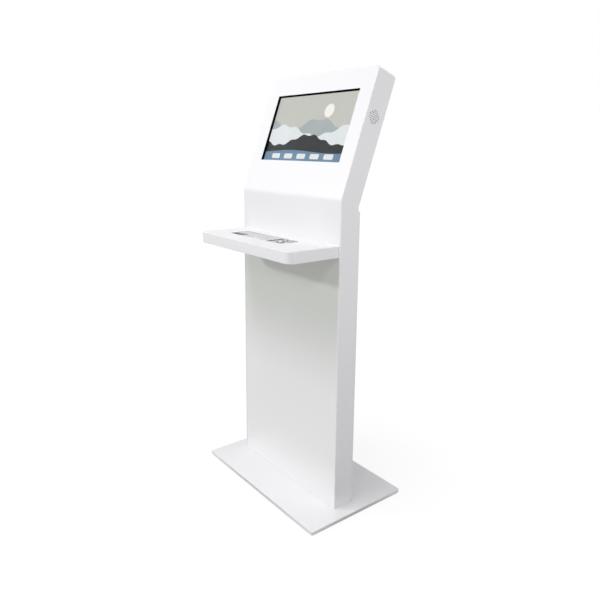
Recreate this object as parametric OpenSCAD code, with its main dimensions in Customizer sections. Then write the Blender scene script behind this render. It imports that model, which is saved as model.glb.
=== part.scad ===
// Touchscreen kiosk: a folded-steel column on a flat base plate, with a tilted display head,
// a keyboard shelf in front and a hinged service door behind. All sizes are in millimetres.
// The origin lies on the floor under the middle of the base plate. +Z is up, the front faces -Y
// and +X is to the right of a person who stands in front of the screen.

/* [Base] */
// Width of the base plate
base_w = 720; // [660:5:860]
// Depth of the base plate
base_d = 452; // [400:2:560]
// Thickness of the base plate
base_t = 11; // [8:1:12]
// Corner radius of the base plate
base_corner_r = 8; // [4:1:30]

/* [Column] */
// Width of the column and of the display head
column_w = 610; // [590:5:640]
// Depth of the column, front to back
column_d = 82; // [80:1:100]
// Distance from the middle of the base plate forward to the column's front face
column_front = 72; // [60:1:90]
// Thickness of the folded sheet steel
sheet = 2; // [1.5:0.5:2.5]
// Width of the flanges that the side panels fold inwards
return_w = 14; // [12:1:16]
// How far the lower front panel sits back from the column's front face
panel_inset = 1; // [0.5:0.5:3]
// Width of the side panels' edge that shows beside the lower front panel
front_lip = 5; // [4:1:8]

/* [Display head] */
// Depth of the head, measured level
head_depth = 93; // [92:1:110]
// Height of the bend where the head starts to lean back
knee_z = 1182; // [1150:2:1220]
// Lean of the head from upright, in degrees
head_tilt = 19.8; // [17:0.2:22]
// Length of the head's face, from the bend to the top edge
head_len = 476; // [470:1:520]
// Outer bend radius of the front sheet at the knee
knee_r = 60; // [30:5:90]
// Radius of the head's two upper corners
head_corner_r = 22; // [18:1:30]
// Radius of the head's upper rear edge
head_back_r = 15; // [8:1:18]

/* [Screen] */
// Width of the screen opening
screen_w = 478; // [470:1:484]
// Height of the screen opening
screen_h = 268; // [264:1:274]
// Distance from the bend up the face to the screen opening
screen_start = 128; // [120:1:130]
// Depth of the folded rim around the screen opening
screen_rim = 7; // [6:1:8]

/* [Shelf] */
// Width of the keyboard shelf
shelf_w = 592; // [570:2:596]
// Reach of the shelf in front of the column
shelf_reach = 213; // [205:1:230]
// Thickness of the shelf
shelf_t = 42; // [40:1:48]
// Height of the shelf's upper face
shelf_z = 1022; // [1000:2:1050]
// Radius of the shelf's front corners
shelf_corner_r = 30; // [15:1:40]

/* [Keyboard] */
// Width of the keyboard cut-out
cutout_w = 335; // [335:1:340]
// Depth of the keyboard cut-out
cutout_d = 87; // [86:1:92]
// Offset of the cut-out's middle from the shelf's middle
cutout_x = -23; // [-26:1:-20]
// Distance from the column's front face to the cut-out
cutout_gap = 50; // [46:1:54]
// Width of the open pocket at the keyboard's left end
pocket_w = 75; // [60:1:75]
// Depth of that pocket, front to back
pocket_d = 27; // [20:1:30]
// Spacing of the key columns
key_pitch_x = 14.6; // [14:0.1:14.6]
// Spacing of the key rows
key_pitch_y = 15.6; // [15:0.1:15.8]
// Gap between a key's foot and the switch below it
key_travel = 4; // [3:0.1:5]
// Radius of the trackball
ball_r = 11; // [10:0.5:11.5]

/* [Service door] */
// Depth by which the door stands behind the column
door_proud = 9; // [8.5:0.5:12]
// Height of the door's lower edge
door_z0 = 90; // [88:1:120]
// Height of the door's upper edge
door_z1 = 1140; // [1130:1:1145]
// Gap between the door and the column
door_gap = 0.5; // [0.4:0.1:1]

/* [Hidden] */
$fn = 48;
e = 0.01;
mat_t = 4;
foot_z = mat_t + base_t;
half_w = column_w / 2;
front_y = -column_front;
back_y = front_y + column_d;
head_t = head_depth * cos(head_tilt);
clear_x = half_w - return_w;
knee_steps = 8;
corner_steps = 6;

// Floor anchors, foot bolts and the cable entry
mat_margin = 3;
anchor_x = 255;
anchor_y = [-53, -9];
anchor_r = 6.5;
foot_bolt_x = 287;
foot_bolt_r = 4;
entry_r = 24;
entry_y = -31;

// Display stack: distances behind the head's face
screen_mid = screen_start + screen_h / 2;
gasket_t = 1;
glass_y = screen_rim + gasket_t;
glass_t = 4;
glass_over = 10;
lcd_y = glass_y + glass_t + 0.6;
lcd_t = 15;
lcd_w = 495.6;
lcd_h = 292.2;
lcd_active_w = 476.6;
lcd_active_h = 268.1;

// Speakers and the fan: places on the head, in its own axes
speaker_y = 39;
speaker_z = head_len - 172;
speaker_pitch = 7;
speaker_hole_r = 2;
fan_x = 150;
fan_z = 250;
fan_side = 80;
fan_t = 25;
fan_r = 38;

// Back cover of the head: its height up the slope and its screws
back_cover_z = [14, head_len - head_corner_r];
cover_screw_x = 272;
cover_screw_z = [30, (back_cover_z[0] + back_cover_z[1]) / 2, head_len - 38];

// Shelf and keyboard levels
shelf_y0 = front_y - shelf_reach;
shelf_z0 = shelf_z - shelf_t;
cut_x0 = cutout_x - cutout_w / 2;
cut_x1 = cutout_x + cutout_w / 2;
cut_y1 = front_y - cutout_gap;
cut_y0 = cut_y1 - cutout_d;
cradle_z0 = shelf_z - 30;
plate_z1 = shelf_z - 3;
plate_t = 2;
plate_z0 = plate_z1 - plate_t;
board_x0 = cut_x0 + 0.5;
board_x1 = cut_x1 - 0.5;
board_y0 = cut_y0 + 0.5;
board_y1 = cut_y1 - 0.5;
pocket_x = [board_x0 + 2, board_x0 + 2 + pocket_w];
pocket_y = [board_y0 + 2, board_y0 + 2 + pocket_d];
key_w = key_pitch_x - 2.2;
key_d = key_pitch_y - 2.4;
key_gap = 0.45;
key_top = plate_z1 + 2.6;
key_base = plate_z0 - 9 + key_travel;
key_cols = 16;
key_rows = 5;
key_x0 = board_x0 + 6;
key_y0 = cut_y0 + (cutout_d - key_rows * key_pitch_y) / 2;
pocket_rows = 2;
pocket_cols = 5;
space_first = 8;
space_cols = 4;
ball_x = cut_x0 + 0.85 * cutout_w;
ball_y = cut_y0 + 0.42 * cutout_d;
ball_z = shelf_z - 10;
button_x = [ball_x - 15, ball_x + 15];
button_y = cut_y1 - 16;
button_w = 22;
button_d = 13;

// Shelf fixings
bracket_x = 250;
shelf_bolt_x = [235, 265];
shelf_mid_z = shelf_z0 + shelf_t / 2;
bolt_r = 3;
cable_x = 40;

// Service door, its hinges and its lock
door_y0 = back_y + door_gap;
door_y1 = back_y + door_gap + door_proud;
door_half = half_w - 4;
door_step = 8;
hinge_x = -half_w - 5;
hinge_y = back_y + 1;
hinge_r = 3.5;
hinge_pin_r = 1.8;
hinge_z = [200, 630, 1060];
hinge_h = 60;
lock_x = 268;
lock_z = 640;
lock_r = 9;
plug_r = 6;
cam_y = back_y - 6;
cam_len = 32;

// Equipment inside the column
board_plate_y = front_y + 11;
pc_z = 600;
pc_size = [200, 46, 180];
strip_z = 280;
strip_x0 = -200;
rocker_x = strip_x0 + 285;
rocker_tilt = 8;
psu_z = 460;
inlet_x = -180;
inlet_z = 50;
socket_x = -120;

// ---------------------------------------------------------------- helpers

// A box between two values on each axis
module box(x, y, z) {
    translate([x[0], y[0], z[0]])
        cube([x[1] - x[0], y[1] - y[0], z[1] - z[0]]);
}

// Puts its children in the head's own axes: X right, Y into the head, Z up the sloping face
module on_head() {
    translate([0, front_y, knee_z])
        rotate([-head_tilt, 0, 0])
            children();
}

// A cylinder along +Y, from y0 to y1
module rod_y(x, y0, y1, z, r) {
    translate([x, y0, z])
        rotate([-90, 0, 0])
            cylinder(h = y1 - y0, r = r);
}

// A cylinder along +X, from x0 to x1
module rod_x(x0, x1, y, z, r) {
    translate([x0, y, z])
        rotate([0, 90, 0])
            cylinder(h = x1 - x0, r = r);
}

// A rectangle with four round corners, about the origin
module round_rect(w, d, r) {
    square([w - 2 * r, d], center = true);
    square([w, d - 2 * r], center = true);
    for (x = [-1, 1], y = [-1, 1])
        translate([x * (w / 2 - r), y * (d / 2 - r)])
            circle(r);
}

// A point given in the head's side view, as [Y, Z] of the whole kiosk
function head_point(y, z) = [
    front_y + y * cos(head_tilt) + z * sin(head_tilt),
    knee_z - y * sin(head_tilt) + z * cos(head_tilt)
];

// The bend where the column's back meets the head's back
function back_knee(inset) = let(
    z = (column_d - inset - (head_t - inset) * cos(head_tilt)) / sin(head_tilt)
) head_point(head_t - inset, z);

// Side view of the body, moved inwards by inset
function side_outline(inset) = concat(
    [[front_y + inset, foot_z + inset]],
    [for (k = [0:knee_steps]) let(a = head_tilt * k / knee_steps) [
        front_y + knee_r - (knee_r - inset) * cos(a),
        knee_z - knee_r * tan(head_tilt / 2) + (knee_r - inset) * sin(a)
    ]],
    [head_point(inset, head_len - inset)],
    [for (k = [0:corner_steps]) let(a = 90 * k / corner_steps) head_point(
        head_t - head_back_r + (head_back_r - inset) * sin(a),
        head_len - head_back_r + (head_back_r - inset) * cos(a)
    )],
    [back_knee(inset)],
    [[back_y - inset, foot_z + inset]]
);

// Front view of the body in the head's plane, with the two upper corners round
module front_outline(inset) {
    r = head_corner_r - inset;
    hw = half_w - inset;
    top = head_len - inset;
    drop = 1500;
    translate([-hw, -drop])
        square([2 * hw, drop + top - r]);
    translate([-hw + r, 0])
        square([2 * (hw - r), top]);
    for (s = [-1, 1])
        translate([s * (hw - r), top - r])
            circle(r);
}

// The solid body of column and head, moved inwards by inset
module envelope(inset) {
    intersection() {
        translate([-half_w + inset, 0, 0])
            rotate([90, 0, 90])
                linear_extrude(2 * (half_w - inset))
                    polygon(side_outline(inset));
        on_head()
            translate([0, 700, 0])
                rotate([90, 0, 0])
                    linear_extrude(1400)
                        front_outline(inset);
    }
}

// The body as a hollow sheet-steel skin
module skin() {
    difference() {
        envelope(0);
        envelope(sheet);
    }
}

// Everything above a line across the head, at this distance up the slope
module head_above(z) {
    on_head()
        box([-half_w - 5, half_w + 5], [-10, head_t + 10], [z, head_len + 10]);
}

// ---------------------------------------------------------------- base

// Upright holes through the base at each place given by both signs of x and each anchor row
module foot_holes(x, h, r) {
    for (side = [-1, 1], y = anchor_y)
        translate([side * x, y, -1])
            cylinder(h = h + 1, r = r);
}

module base_plate() {
    color("whitesmoke")
        difference() {
            translate([0, 0, mat_t])
                linear_extrude(base_t)
                    round_rect(base_w, base_d, base_corner_r);
            foot_holes(anchor_x, foot_z + 1, anchor_r);
            foot_holes(foot_bolt_x, foot_z + 1, foot_bolt_r + 0.3);
            foot_holes(foot_bolt_x, mat_t + 5, 8);
            translate([0, entry_y, 0])
                cylinder(h = foot_z + 1, r = entry_r);
        }
}

// Rubber mat between the base plate and the floor
module floor_mat() {
    color("dimgray")
        difference() {
            linear_extrude(mat_t)
                round_rect(base_w - 2 * mat_margin, base_d - 2 * mat_margin, base_corner_r);
            foot_holes(anchor_x, mat_t + 1, anchor_r + 1);
            foot_holes(foot_bolt_x, mat_t + 1, 9);
            translate([0, entry_y, -1])
                cylinder(h = mat_t + 2, r = entry_r + 1);
        }
}

module cable_grommet() {
    color("black")
        translate([0, entry_y, 0])
            difference() {
                union() {
                    translate([0, 0, mat_t - 1.5])
                        cylinder(h = base_t + 4, r = entry_r);
                    translate([0, 0, foot_z])
                        cylinder(h = 2.5, r = entry_r + 4);
                }
                cylinder(h = foot_z + 10, r = entry_r - 4);
            }
}

// An angle bracket that ties one side of the column to the base; side is -1 or 1
module foot_bracket(side) {
    bracket_t = 4;
    x1 = half_w - sheet;
    z0 = foot_z + sheet;
    y = [front_y + 6, back_y - 4];
    color("silver")
        difference() {
            union() {
                box(side > 0 ? [x1 - 70, x1] : [-x1, 70 - x1], y, [z0, z0 + bracket_t]);
                box(side > 0 ? [x1 - bracket_t, x1] : [-x1, bracket_t - x1], y, [z0, z0 + 60]);
            }
            foot_holes(anchor_x, z0 + 10, anchor_r + 1);
            foot_holes(foot_bolt_x, z0 + 10, foot_bolt_r + 0.3);
        }
}

module foot_bolts() {
    z_nut = foot_z + sheet + 4;
    color("silver")
        for (x = [-foot_bolt_x, foot_bolt_x], y = anchor_y)
            translate([x, y, 0]) {
                translate([0, 0, mat_t + 0.5])
                    cylinder(h = 4, r = 7);
                translate([0, 0, mat_t + 1])
                    cylinder(h = z_nut + 10 - mat_t, r = foot_bolt_r);
                translate([0, 0, z_nut])
                    cylinder(h = 6.5, r = 7.5, $fn = 6);
            }
}

// ---------------------------------------------------------------- body panels

// Sound holes of one speaker, drilled along X through a side panel
module speaker_holes(side) {
    on_head()
        for (i = [-3:3], j = [-3:3])
            if (i * i + j * j <= 12)
                rod_x(side * half_w - 5, side * half_w + 5,
                      speaker_y + i * speaker_pitch, speaker_z + j * speaker_pitch, speaker_hole_r);
}

module side_panel(side) {
    x = side > 0 ? [clear_x, half_w + 1] : [-half_w - 1, -clear_x];
    strip_in = cover_screw_x - 8;
    strip_out = half_w - sheet / 2;
    color("whitesmoke")
        difference() {
            union() {
                intersection() {
                    skin();
                    box(x, [front_y - 5, 300], [0, knee_z + head_len]);
                }
                // Landing strip that takes the screws of the head's back cover
                on_head()
                    box(side > 0 ? [strip_in, strip_out] : [-strip_out, -strip_in],
                        [head_t - 2 * sheet, head_t - sheet], [16, head_len - head_corner_r - 4]);
            }
            head_above(head_len - head_corner_r);
            // Below the shelf the front flange narrows to a lip beside the lower front panel
            box(side > 0 ? [clear_x - 1, half_w - front_lip] : [front_lip - half_w, 1 - clear_x],
                [front_y - 1, front_y + panel_inset + sheet + 0.3], [foot_z - 1, shelf_z0]);
            speaker_holes(side);
            foot_holes(foot_bolt_x, foot_z + 10, 9);
            cover_screw_holes(2.05);
        }
}

// The one-piece front sheet: above the shelf it is upright, then it bends back round the screen
module front_upper_panel() {
    color("white")
        difference() {
            union() {
                intersection() {
                    skin();
                    union() {
                        box([-clear_x, clear_x], [front_y - 1, front_y + 20], [shelf_z0, knee_z + 6]);
                        on_head()
                            box([-clear_x, clear_x], [-1, 20], [-10, head_len - head_corner_r]);
                    }
                }
                on_head()
                    box([-screen_w / 2 - sheet, screen_w / 2 + sheet], [sheet - e, screen_rim],
                        [screen_start - sheet, screen_start + screen_h + sheet]);
            }
            on_head()
                box([-screen_w / 2, screen_w / 2], [-5, 30], [screen_start, screen_start + screen_h]);
            for (s = [-1, 1], x = shelf_bolt_x)
                rod_y(s * x, front_y - 5, front_y + 5, shelf_mid_z, bolt_r + 0.3);
            rod_y(cable_x, front_y - 5, front_y + 5, shelf_mid_z, 5);
        }
}

module front_lower_panel() {
    x1 = half_w - front_lip - 0.3;
    y0 = front_y + panel_inset;
    z = [foot_z + 0.3, shelf_z0 - 0.5];
    color("gainsboro")
        difference() {
            box([-x1, x1], [y0, y0 + 17], z);
            box([-x1 + sheet, x1 - sheet], [y0 + sheet, y0 + 20], [0, shelf_z]);
            box([-x1 - 1, x1 + 1], [y0 + sheet, y0 + 20], [0, foot_z + 80]);
        }
}

module head_top_cap() {
    color("white")
        intersection() {
            skin();
            head_above(head_len - head_corner_r);
        }
}

module cover_screw_holes(r) {
    on_head()
        for (s = [-1, 1], z = cover_screw_z)
            rod_y(s * cover_screw_x, head_t - 10, head_t + 5, z, r);
}

module head_back_cover() {
    slot_w = 3;
    slot_pitch = 9;
    color("whitesmoke")
        difference() {
            intersection() {
                skin();
                on_head()
                    box([-clear_x, clear_x], [head_t - 10, head_t + 1], back_cover_z);
            }
            // Vent slots, in two fields
            on_head()
                for (k = [0:9])
                    box([-220, -60], [head_t - 10, head_t + 5],
                        [310 + k * slot_pitch, 310 + k * slot_pitch + slot_w]);
            on_head()
                for (k = [0:7])
                    box([-220, -60], [head_t - 10, head_t + 5],
                        [90 + k * slot_pitch, 90 + k * slot_pitch + slot_w]);
            // Fan outlet: rings of round holes
            on_head()
                for (ring = [1:4], k = [0:6 * ring - 1])
                    rod_y(fan_x + 8.5 * ring * cos(60 * k / ring), head_t - 10, head_t + 5,
                          fan_z + 8.5 * ring * sin(60 * k / ring), 2.6);
            cover_screw_holes(2.2);
        }
}

module back_cover_screws() {
    color("silver")
        on_head()
            for (s = [-1, 1], z = cover_screw_z) {
                rod_y(s * cover_screw_x, head_t - 9, head_t, z, 2);
                difference() {
                    rod_y(s * cover_screw_x, head_t, head_t + 2.2, z, 4);
                    rod_y(s * cover_screw_x, head_t + 1, head_t + 3, z, 1.8);
                }
            }
}

// Folded bar that joins the two sides behind the knee
module back_crossbar() {
    color("whitesmoke")
        intersection() {
            skin();
            union() {
                box([-clear_x, clear_x], [back_y - 12, back_y + 1],
                    [door_z1 - 30, back_knee(0)[1]]);
                on_head()
                    box([-clear_x, clear_x], [head_t - 12, head_t + 1], [-6, back_cover_z[0] - 0.3]);
            }
        }
}

// ---------------------------------------------------------------- rear plinth and door

// Side view of a shallow tray on the column's back, with a stepped upper edge
function tray_outline(z0, z1, inset, step) = [
    [back_y, z0 + inset],
    [door_y1 - inset, z0 + inset],
    [door_y1 - inset, z1 - step - inset / 2],
    [door_y1 - step - inset / 2, z1 - inset],
    [back_y, z1 - inset]
];

module rear_plinth() {
    z = [foot_z + 2, door_z0 - 3];
    color("whitesmoke")
        difference() {
            box([-door_half, door_half], [back_y, door_y1], z);
            box([-door_half + sheet, door_half - sheet], [back_y - 1, door_y1 - sheet],
                [z[0] + sheet, z[1] - sheet]);
            box([inlet_x - 13.8, inlet_x + 13.8], [back_y, door_y1 + 1], [inlet_z - 24, inlet_z + 24]);
            box([socket_x - 8, socket_x + 8], [back_y, door_y1 + 1], [inlet_z - 8, inlet_z + 8]);
        }
}

module rear_door() {
    color("whitesmoke")
        difference() {
            intersection() {
                translate([-door_half, 0, 0])
                    rotate([90, 0, 90])
                        linear_extrude(2 * door_half)
                            polygon(tray_outline(door_z0, door_z1, 0, door_step));
                box([-door_half, door_half], [door_y0, door_y1 + 1], [door_z0 - 1, door_z1 + 1]);
            }
            translate([-door_half + sheet, 0, 0])
                rotate([90, 0, 90])
                    linear_extrude(2 * (door_half - sheet))
                        polygon(tray_outline(door_z0, door_z1, sheet, door_step));
            rod_y(lock_x, door_y0 - 5, door_y1 + 5, lock_z, lock_r);
            for (k = [0:11])
                box([-70, 70], [door_y0, door_y1 + 2], [940 + 10 * k, 943 + 10 * k]);
        }
}

// Top-hat rib along the inside of the door
module door_stiffener() {
    y1 = door_y1 - sheet;
    color("silver")
        difference() {
            box([-130, -95], [y1 - 8, y1], [door_z0 + 20, door_z1 - 40]);
            box([-128.5, -96.5], [y1 - 6.5, y1 + 1], [door_z0, door_z1]);
        }
}

// Hinge barrels: the outer thirds belong to the column and the middle third to the door
module hinge_leaves_fixed() {
    third = hinge_h / 3;
    color("silver")
        for (z = hinge_z)
            difference() {
                union() {
                    box([-half_w - 2, -half_w], [back_y - 30, hinge_y], [z, z + hinge_h]);
                    for (k = [0, 2])
                        translate([hinge_x, hinge_y, z + k * third])
                            cylinder(h = third, r = hinge_r);
                    for (k = [0, 2])
                        box([hinge_x, -half_w], [hinge_y - hinge_r, hinge_y - hinge_r + 2],
                            [z + k * third, z + (k + 1) * third]);
                }
                translate([hinge_x, hinge_y, z - 1])
                    cylinder(h = hinge_h + 2, r = hinge_pin_r);
                box([-half_w - 20, -half_w + 20], [back_y - 3, back_y + 20],
                    [z + third - 0.4, z + 2 * third + 0.4]);
            }
}

module hinge_leaves_door() {
    third = hinge_h / 3;
    leaf_y = hinge_y + hinge_r - 2;
    color("silver")
        for (z = hinge_z)
            translate([0, 0, z + third])
                difference() {
                    union() {
                        translate([hinge_x, hinge_y, 0])
                            cylinder(h = third, r = hinge_r);
                        box([hinge_x, -door_half], [leaf_y, leaf_y + 2], [0, third]);
                        box([-door_half - 1.6, -door_half], [leaf_y, door_y1 - 1], [0, third]);
                    }
                    translate([hinge_x, hinge_y, -1])
                        cylinder(h = third + 2, r = hinge_pin_r + 0.05);
                }
}

module hinge_pins() {
    color("gray")
        for (z = hinge_z)
            translate([hinge_x, hinge_y, z - 1])
                cylinder(h = hinge_h + 2, r = hinge_pin_r);
}

module lock_housing() {
    color("silver")
        difference() {
            union() {
                rod_y(lock_x, cam_y + 4, door_y1 + 1, lock_z, lock_r - 0.1);
                rod_y(lock_x, door_y1, door_y1 + 1.5, lock_z, lock_r + 2);
                rod_y(lock_x, door_y1 - sheet - 3, door_y1 - sheet, lock_z, lock_r + 3);
            }
            rod_y(lock_x, cam_y, door_y1 + 3, lock_z, plug_r);
        }
}

// The turning plug with its cam; the cam hangs down when the door is unlocked
module lock_cylinder() {
    color("darkgray")
        difference() {
            union() {
                rod_y(lock_x, cam_y, door_y1 + 1.5, lock_z, plug_r - 0.05);
                box([lock_x - 6, lock_x + 6], [cam_y, cam_y + 2.5], [lock_z - cam_len, lock_z]);
                rod_y(lock_x, cam_y, cam_y + 2.5, lock_z, 8);
            }
            box([lock_x - 0.7, lock_x + 0.7], [door_y1 - 8, door_y1 + 3], [lock_z - 3.5, lock_z + 3.5]);
        }
}

// ---------------------------------------------------------------- shelf

// Plan of the shelf, moved inwards by inset
module shelf_plan(inset) {
    r = shelf_corner_r - inset;
    w = shelf_w / 2 - inset;
    y0 = shelf_y0 + inset;
    y1 = front_y - inset;
    translate([-w, y0 + r])
        square([2 * w, y1 - y0 - r]);
    translate([-w + r, y0])
        square([2 * (w - r), r]);
    for (s = [-1, 1])
        translate([s * (w - r), y0 + r])
            circle(r);
}

module shelf_fixing_holes() {
    for (s = [-1, 1], x = shelf_bolt_x)
        rod_y(s * x, front_y - 10, front_y + 10, shelf_mid_z, bolt_r + 0.3);
    rod_y(cable_x, front_y - 10, front_y + 10, shelf_mid_z, 5);
}

module shelf_top() {
    color("white")
        difference() {
            translate([0, 0, shelf_z0])
                linear_extrude(shelf_t)
                    shelf_plan(0);
            translate([0, 0, shelf_z0 - 1])
                linear_extrude(shelf_t - sheet + 1)
                    shelf_plan(sheet);
            box([cut_x0, cut_x1], [cut_y0, cut_y1], [shelf_z0, shelf_z + 1]);
            shelf_fixing_holes();
        }
}

module shelf_bottom() {
    color("whitesmoke")
        translate([0, 0, shelf_z0])
            linear_extrude(sheet)
                shelf_plan(sheet + 0.3);
}

module shelf_bracket(side) {
    t = 3;
    y1 = front_y - sheet;
    z = [shelf_z0 + sheet + 1, shelf_z - sheet - 1];
    color("silver")
        difference() {
            union() {
                box([side * bracket_x - t / 2, side * bracket_x + t / 2], [y1 - 170, y1], z);
                box([side * bracket_x - 28, side * bracket_x + 28], [y1 - t, y1], z);
            }
            shelf_fixing_holes();
        }
}

module shelf_backing_bar() {
    color("silver")
        difference() {
            box([-285, 285], [front_y + sheet, front_y + sheet + 5], [shelf_z0 + 3, shelf_z - 3]);
            shelf_fixing_holes();
        }
}

module shelf_bolts() {
    y_head = front_y - sheet - 3;
    color("gray")
        for (s = [-1, 1], x = shelf_bolt_x) {
            rod_y(s * x, y_head - 4, y_head, shelf_mid_z, 5);
            rod_y(s * x, y_head - 1, front_y + 14, shelf_mid_z, bolt_r);
            translate([s * x, front_y + sheet + 5, shelf_mid_z])
                rotate([-90, 0, 0])
                    cylinder(h = 5, r = 5.5, $fn = 6);
        }
}

// ---------------------------------------------------------------- keyboard

// Black moulded tub that hangs under the cut-out and carries the keyboard
module keyboard_cradle() {
    z1 = shelf_z - sheet;
    wall = 2;
    color("black")
        difference() {
            union() {
                box([cut_x0 - wall, cut_x1 + wall], [cut_y0 - wall, cut_y1 + wall], [cradle_z0, z1]);
                box([cut_x0 - 8, cut_x1 + 8], [cut_y0 - 8, cut_y1 + 8], [z1 - 2, z1]);
            }
            box([cut_x0, cut_x1], [cut_y0, cut_y1], [cradle_z0 + wall, z1 + 1]);
            rod_y(cable_x, cut_y1 - 5, cut_y1 + 5, shelf_mid_z, 4);
        }
}

// The pocket's opening, moved outwards by margin
module pocket_hole(margin, z) {
    box([pocket_x[0] - margin, pocket_x[1] + margin],
        [pocket_y[0] - margin, pocket_y[1] + margin], z);
}

// Steel back box of the keyboard, walled off round the pocket
module keyboard_housing() {
    wall = 1.5;
    z0 = cradle_z0 + 2;
    color("silver")
        difference() {
            box([board_x0, board_x1], [board_y0, board_y1], [z0, plate_z0]);
            difference() {
                box([board_x0 + wall, board_x1 - wall], [board_y0 + wall, board_y1 - wall],
                    [z0 + wall, plate_z0 + 1]);
                pocket_hole(wall, [z0, plate_z0 + 2]);
            }
            pocket_hole(0, [z0 - 1, plate_z0 + 1]);
        }
}

module keyboard_circuit() {
    x = [board_x0 + 2, key_x0 + key_cols * key_pitch_x + 2];
    y = [board_y0 + 2, board_y1 - 2];
    z = plate_z0 - 13;
    color("darkgreen")
        difference() {
            box(x, y, [z, z + 1.6]);
            pocket_hole(2, [z - 1, z + 3]);
        }
    color("dimgray")
        for (row = [0:key_rows - 1], c = concat(single_keys(row), row == 0 ? [space_first + 1.5] : []))
            translate([key_x0 + (c + 0.5) * key_pitch_x, key_y0 + (row + 0.5) * key_pitch_y, z + 1.6])
                cylinder(h = 2.2, r = 3);
}

// Space between two key cells, from column a to column b, of row counted from the front
module key_block(a, b, row, gap, z) {
    x0 = key_x0 + a * key_pitch_x + (key_pitch_x - key_w) / 2;
    x1 = key_x0 + b * key_pitch_x - (key_pitch_x - key_w) / 2;
    y0 = key_y0 + row * key_pitch_y + (key_pitch_y - key_d) / 2;
    box([x0 - gap, x1 + gap], [y0 - gap, y0 + key_d + gap], z);
}

// Columns of the single keys in a row, clear of the pocket and of the space bar in the front row
function single_keys(row) = [
    for (c = [row < pocket_rows ? pocket_cols : 0 : key_cols - 1])
        if (row > 0 || c < space_first || c >= space_first + space_cols) c
];

module keyboard_plate() {
    color("lightgray")
        difference() {
            box([board_x0, board_x1], [board_y0, board_y1], [plate_z0, plate_z1]);
            for (row = [0:key_rows - 1], c = single_keys(row))
                key_block(c, c + 1, row, key_gap, [plate_z0 - 1, plate_z1 + 1]);
            key_block(space_first, space_first + space_cols, 0, key_gap, [plate_z0 - 1, plate_z1 + 1]);
            translate([ball_x, ball_y, plate_z0 - 1])
                cylinder(h = 5, r = ball_r);
            pocket_hole(0, [plate_z0 - 1, plate_z1 + 1]);
            for (x = button_x)
                box([x - button_w / 2 - key_gap, x + button_w / 2 + key_gap],
                    [button_y - button_d / 2 - key_gap, button_y + button_d / 2 + key_gap],
                    [plate_z0 - 1, plate_z1 + 1]);
        }
}

// One row of single keys, counted from the back as row 1
module keys_row(n) {
    row = key_rows - n;
    color("silver")
        for (c = single_keys(row))
            key_block(c, c + 1, row, 0, [key_base, key_top]);
}

module space_bar() {
    color("silver")
        key_block(space_first, space_first + space_cols, 0, 0, [key_base, key_top]);
}

module trackball() {
    color("white")
        translate([ball_x, ball_y, ball_z])
            sphere(ball_r);
}

module trackball_cup() {
    color("black")
        translate([ball_x, ball_y, 0])
            difference() {
                translate([0, 0, cradle_z0 + 3.5])
                    cylinder(h = plate_z0 - cradle_z0 - 3.5, r = 16);
                translate([0, 0, ball_z])
                    sphere(ball_r + 0.5);
                translate([0, 0, ball_z])
                    cylinder(h = 20, r = ball_r + 0.5);
                translate([0, 0, cradle_z0])
                    cylinder(h = 20, r = 5);
            }
}

module trackball_ring() {
    color("black")
        translate([ball_x, ball_y, plate_z1])
            difference() {
                cylinder(h = 1.4, r = 15);
                translate([0, 0, -1])
                    cylinder(h = 5, r = 10);
            }
}

module click_button(n) {
    x = button_x[n];
    color("silver")
        box([x - button_w / 2, x + button_w / 2], [button_y - button_d / 2, button_y + button_d / 2],
            [key_base, key_top]);
}

// ---------------------------------------------------------------- display

module touch_glass() {
    color([0.1, 0.1, 0.12, 0.4])
        on_head()
            box([-screen_w / 2 - glass_over, screen_w / 2 + glass_over], [glass_y, glass_y + glass_t],
                [screen_start - glass_over, screen_start + screen_h + glass_over]);
}

module glass_gasket() {
    color("black")
        on_head()
            difference() {
                box([-screen_w / 2 - glass_over, screen_w / 2 + glass_over], [screen_rim, glass_y],
                    [screen_start - glass_over, screen_start + screen_h + glass_over]);
                box([-screen_w / 2 - 1, screen_w / 2 + 1], [0, 20],
                    [screen_start - 1, screen_start + screen_h + 1]);
            }
}

module lcd_panel() {
    color("black")
        on_head()
            difference() {
                box([-lcd_w / 2, lcd_w / 2], [lcd_y, lcd_y + lcd_t],
                    [screen_mid - lcd_h / 2, screen_mid + lcd_h / 2]);
                box([-lcd_active_w / 2, lcd_active_w / 2], [lcd_y - 1, lcd_y + 0.8],
                    [screen_mid - lcd_active_h / 2, screen_mid + lcd_active_h / 2]);
            }
}

// Two folded rails behind the display that hook on the side panels
module lcd_brackets() {
    y0 = lcd_y + lcd_t;
    color("silver")
        on_head()
            for (s = [-1, 1]) {
                z = screen_mid + s * 95;
                box([-half_w + sheet, half_w - sheet], [y0, y0 + 2.5], [z - 15, z + 15]);
                box([-half_w + sheet, half_w - sheet], [y0 + 2.5, y0 + 12], [z - 15, z - 12.5]);
            }
}

module lcd_driver_board() {
    y0 = lcd_y + lcd_t + 6;
    color("darkgreen")
        on_head() {
            difference() {
                box([-90, 60], [y0, y0 + 1.6], [screen_mid - 60, screen_mid + 60]);
                for (x = [-84, 54], z = [-54, 54])
                    rod_y(x, y0 - 5, y0 + 5, screen_mid + z, 1.7);
            }
            for (x = [-70:30:20])
                box([x, x + 16], [y0 + 1.6, y0 + 9], [screen_mid - 54, screen_mid - 42]);
            box([-40, 0], [y0 + 1.6, y0 + 4], [screen_mid - 10, screen_mid + 30]);
            box([-20, 14], [y0 - 6, y0], [screen_mid - 20, screen_mid + 20]);
        }
}

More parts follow.
